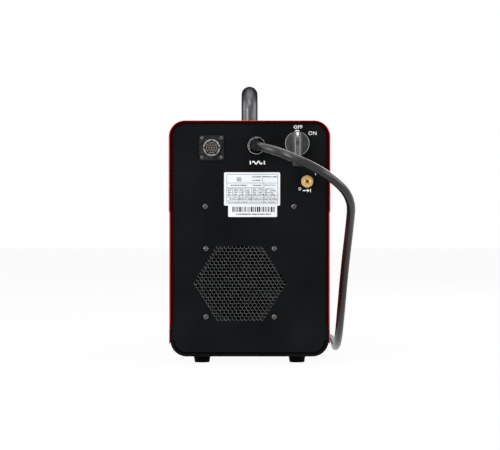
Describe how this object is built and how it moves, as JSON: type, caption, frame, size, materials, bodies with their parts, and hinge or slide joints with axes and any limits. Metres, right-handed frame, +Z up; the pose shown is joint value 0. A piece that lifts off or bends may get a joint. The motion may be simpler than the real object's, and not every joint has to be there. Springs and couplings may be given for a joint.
{
  "type": "plasma cutter unit",
  "caption": "Portable inverter plasma cutter power source: folded steel case with carrying handle, rear mains lead, rotary switch, remote connector, air inlet and fan grille.",
  "frame": {"origin": "on the floor at the middle of the box round the unit without its mains lead", "axes": "+Z up, -Y out of the control panel at the front, +Y out of the rear panel, +X to the right seen from the front"},
  "size_m": [0.283, 0.9044, 0.4375],
  "materials": {
    "red_paint": "gloss red enamel",
    "black_paint": "semi-gloss black powder coat",
    "handle_coat": "satin dark grey sleeve",
    "foot_rubber": "matt black rubber",
    "seal_rubber": "matt black rubber",
    "nickel_screw": "bright nickel plate",
    "black_screw": "black oxide steel",
    "gland_nylon": "black nylon",
    "cable_rubber": "dark grey rubber sheath",
    "plug_plastic": "black moulded plastic",
    "plug_brass": "bright brass",
    "switch_plastic": "grey moulded plastic",
    "switch_case": "dark moulded plastic",
    "connector_metal": "dark anodised shell",
    "connector_resin": "warm grey resin",
    "contact_metal": "plated contact",
    "brass": "turned brass",
    "plate_foil": "pale printed foil",
    "label_paper": "white label",
    "fan_plastic": "black moulded plastic",
    "shelf_steel": "zinc-plated steel",
    "sink_aluminium": "extruded aluminium",
    "board_green": "green circuit board",
    "module_black": "black moulded package",
    "capacitor_sleeve": "dark blue sleeve",
    "core_steel": "laminated core",
    "copper_winding": "enamelled copper",
    "valve_metal": "cast body",
    "hose_blue": "blue air tube",
    "fascia_plastic": "dark moulded fascia",
    "window_glass": "dark red window",
    "knob_plastic": "black fluted knob",
    "button_plastic": "red button cap",
    "gauge_metal": "plated case",
    "needle_red": "red pointer",
    "gauge_glass": "clear lens",
    "torch_plastic": "black insulator"
  },
  "bodies": {
    "case": {"air_hose": "hose_blue", "air_inlet": "brass", "air_inlet_nut": "brass", "barcode_label": "label_paper", "base_tray": "black_paint", "capacitors": "capacitor_sleeve", "connector_contacts": "contact_metal", "connector_insert": "connector_resin", "connector_screws": "nickel_screw", "connector_shell": "connector_metal", "control_board": "board_green", "control_fascia": "fascia_plastic", "display_board": "board_green", "display_window": "window_glass", "earth_socket": "brass", "fan_frame": "fan_plastic", "fan_screws": "nickel_screw", "foot_screws": "nickel_screw", "front_panel": "black_paint", "gauge_case": "gauge_metal", "gauge_lens": "gauge_glass", "gland_body": "gland_nylon", "gland_dome_nut": "gland_nylon", "gland_locknut": "gland_nylon", "gland_seal": "seal_rubber", "handle_bar": "handle_coat", "handle_bolts": "nickel_screw", "heat_sink": "sink_aluminium", "hood_screws": "black_screw", "mains_cable": "cable_rubber", "mains_cable_coil": "cable_rubber", "mid_shelf": "shelf_steel", "output_choke": "core_steel", "plug_body": "plug_plastic", "plug_grip_nut": "plug_plastic", "plug_pins": "plug_brass", "power_board": "board_green", "power_modules": "module_black", "rating_plate": "plate_foil", "rear_panel": "black_paint", "regulator_body": "valve_metal", "rubber_feet": "foot_rubber", "shelf_screws": "nickel_screw", "side_panel_left": "red_paint", "side_panel_right": "red_paint", "side_screws": "black_screw", "solenoid_valve": "valve_metal", "switch_body": "switch_case", "top_hood": "red_paint", "torch_socket": "torch_plastic", "transformer_core": "core_steel", "transformer_winding": "copper_winding"},
    "switch_lever": {"switch_lever": "switch_plastic", "lever_screw": "nickel_screw"},
    "fan_rotor": {"fan_rotor": "fan_plastic"},
    "current_knob": {"current_knob": "knob_plastic"},
    "regulator_knob": {"regulator_knob": "knob_plastic"},
    "push_button": {"push_button": "button_plastic"},
    "gauge_needle": {"gauge_needle": "needle_red"}
  },
  "joints": [
    {"name": "switch_turn", "type": "hinge", "parent": "case", "child": "switch_lever", "pos_m": [-0.0731, 0.2552, 0.3385], "axis": [0, -1, 0], "range_deg": [0, 60]},
    {"name": "fan_spin", "type": "hinge", "parent": "case", "child": "fan_rotor", "pos_m": [0.0145, 0.235, 0.125], "axis": [0, 1, 0], "continuous": true},
    {"name": "current_turn", "type": "hinge", "parent": "case", "child": "current_knob", "pos_m": [0.046, -0.2552, 0.276], "axis": [0, 1, 0], "range_deg": [0, 270]},
    {"name": "pressure_turn", "type": "hinge", "parent": "case", "child": "regulator_knob", "pos_m": [-0.0882, -0.2552, 0.2804], "axis": [0, 1, 0], "continuous": true},
    {"name": "button_press", "type": "slide", "parent": "case", "child": "push_button", "axis": [0, 1, 0], "range_m": [0, 0.0015], "stiffness_N_per_m": 300},
    {"name": "needle_swing", "type": "hinge", "parent": "case", "child": "gauge_needle", "pos_m": [0.07, -0.2552, 0.334], "axis": [0, 1, 0], "range_deg": [0, 270], "stiffness_Nm_per_rad": 0.002}
  ]
}
